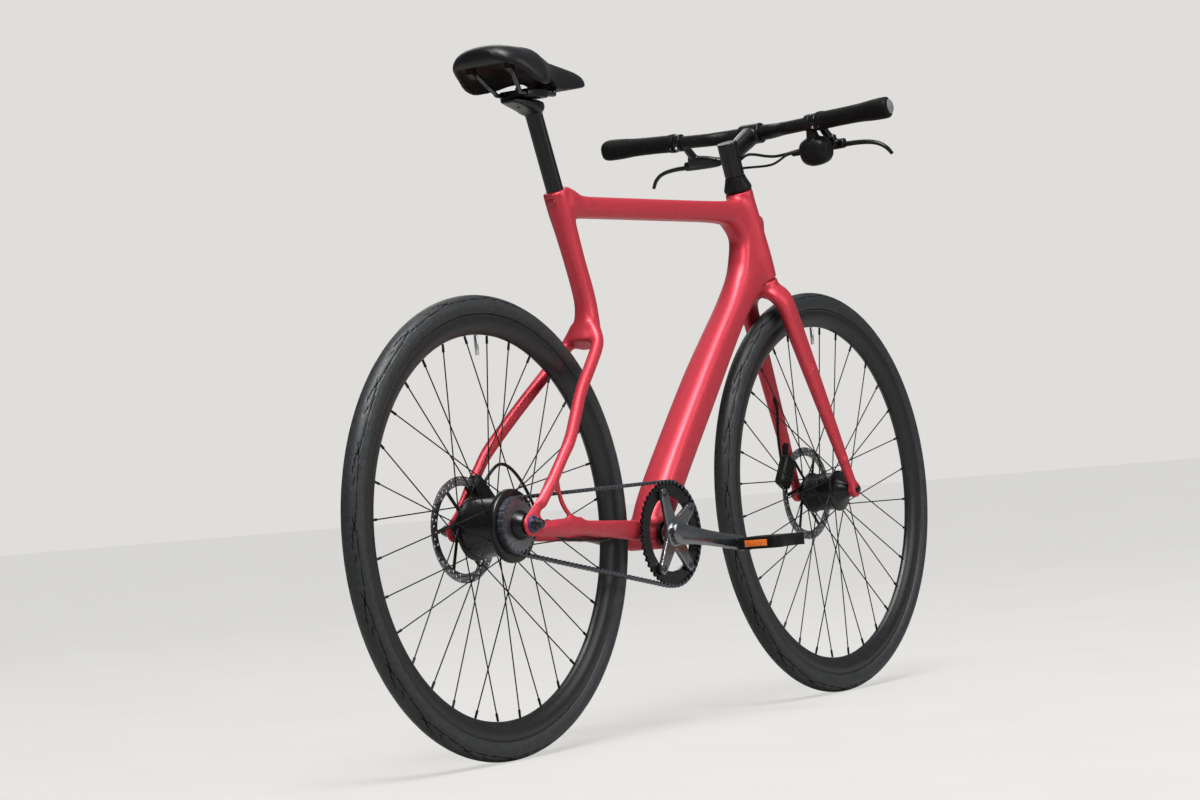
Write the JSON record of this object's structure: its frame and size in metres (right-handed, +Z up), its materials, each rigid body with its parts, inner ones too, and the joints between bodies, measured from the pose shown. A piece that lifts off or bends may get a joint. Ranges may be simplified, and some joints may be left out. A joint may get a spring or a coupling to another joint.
{
  "type": "city bike",
  "caption": "City bike with a smooth one-piece frame, belt drive, disc brakes, hub gear, flat bar and padded saddle.",
  "frame": {"origin": "middle of the saddle's top, where the rider sits and steadies the bike", "axes": "+X forwards along the wheelbase, +Y to the rider's left, +Z up; the ground is 1.07 m below the origin"},
  "size_m": [1.678, 0.5656, 1.07],
  "materials": {
    "frame_red": "satin metallic paint",
    "satin_black": "satin",
    "black_alloy": "satin anodised",
    "crank_grey": "gloss",
    "tyre_rubber": "matt",
    "grip_rubber": "matt",
    "steel": "brushed",
    "silver": "polished",
    "hose_black": "satin",
    "saddle_cover": "soft matt",
    "tail_lens": "gloss",
    "head_lens": "clear gloss"
  },
  "bodies": {
    "frame": {"frame": "frame_red", "seatpost": "black_alloy", "saddle_clamp": "black_alloy", "saddle_rail_left": "steel", "saddle_rail_right": "steel", "saddle_base": "satin_black", "saddle_pad": "saddle_cover", "head_light": "head_lens", "tail_light": "tail_lens", "bottom_bracket_cup_left": "black_alloy", "bottom_bracket_cup_right": "black_alloy", "belt": "tyre_rubber", "cog": "steel", "hub_driver": "black_alloy", "rear_axle": "steel", "rear_caliper": "satin_black", "rear_brake_hose": "hose_black", "gear_cable": "hose_black"},
    "steering": {"fork": "frame_red", "headset_cone": "satin_black", "stem": "black_alloy", "handlebar": "satin_black", "grip_left": "grip_rubber", "grip_right": "grip_rubber", "brake_lever_left": "black_alloy", "brake_lever_right": "black_alloy", "lever_blade_left": "black_alloy", "lever_blade_right": "black_alloy", "gear_shifter": "satin_black", "brake_hose_left": "hose_black", "brake_hose_right": "hose_black", "shifter_cable": "hose_black", "front_caliper": "satin_black", "front_brake_hose": "hose_black", "front_axle": "black_alloy"},
    "front_wheel": {"front_tyre": "tyre_rubber", "front_rim": "satin_black", "front_hub": "black_alloy", "front_rotor": "steel", "front_valve": "silver"},
    "rear_wheel": {"rear_tyre": "tyre_rubber", "rear_rim": "satin_black", "rear_hub": "black_alloy", "rear_rotor": "steel", "rear_valve": "silver"},
    "crank": {"crank_right": "crank_grey", "crank_left": "crank_grey", "chainring": "black_alloy", "pedal_axle_left": "silver", "pedal_axle_right": "silver"},
    "pedal_left": {"pedal_left": "satin_black"},
    "pedal_right": {"pedal_right": "satin_black"}
  },
  "joints": [
    {"name": "steering", "type": "hinge", "parent": "frame", "child": "steering", "pos_m": [0.79149, 0, -0.724], "axis": [-0.289, 0, 0.9573], "range_deg": [-70, 70]},
    {"name": "front_wheel_spin", "type": "hinge", "parent": "steering", "child": "front_wheel", "pos_m": [0.83599, 0, -0.724], "axis": [0, 1, 0], "continuous": true},
    {"name": "rear_wheel_spin", "type": "hinge", "parent": "frame", "child": "rear_wheel", "pos_m": [-0.15001, 0, -0.724], "axis": [0, 1, 0], "continuous": true},
    {"name": "crank_spin", "type": "hinge", "parent": "frame", "child": "crank", "pos_m": [0.25853, 0, -0.7625], "axis": [0, 1, 0], "continuous": true},
    {"name": "pedal_left_spin", "type": "hinge", "parent": "crank", "child": "pedal_left", "pos_m": [0.09086, 0, -0.73445], "axis": [0, 1, 0], "continuous": true},
    {"name": "pedal_right_spin", "type": "hinge", "parent": "crank", "child": "pedal_right", "pos_m": [0.4262, 0, -0.79056], "axis": [0, 1, 0], "continuous": true}
  ]
}
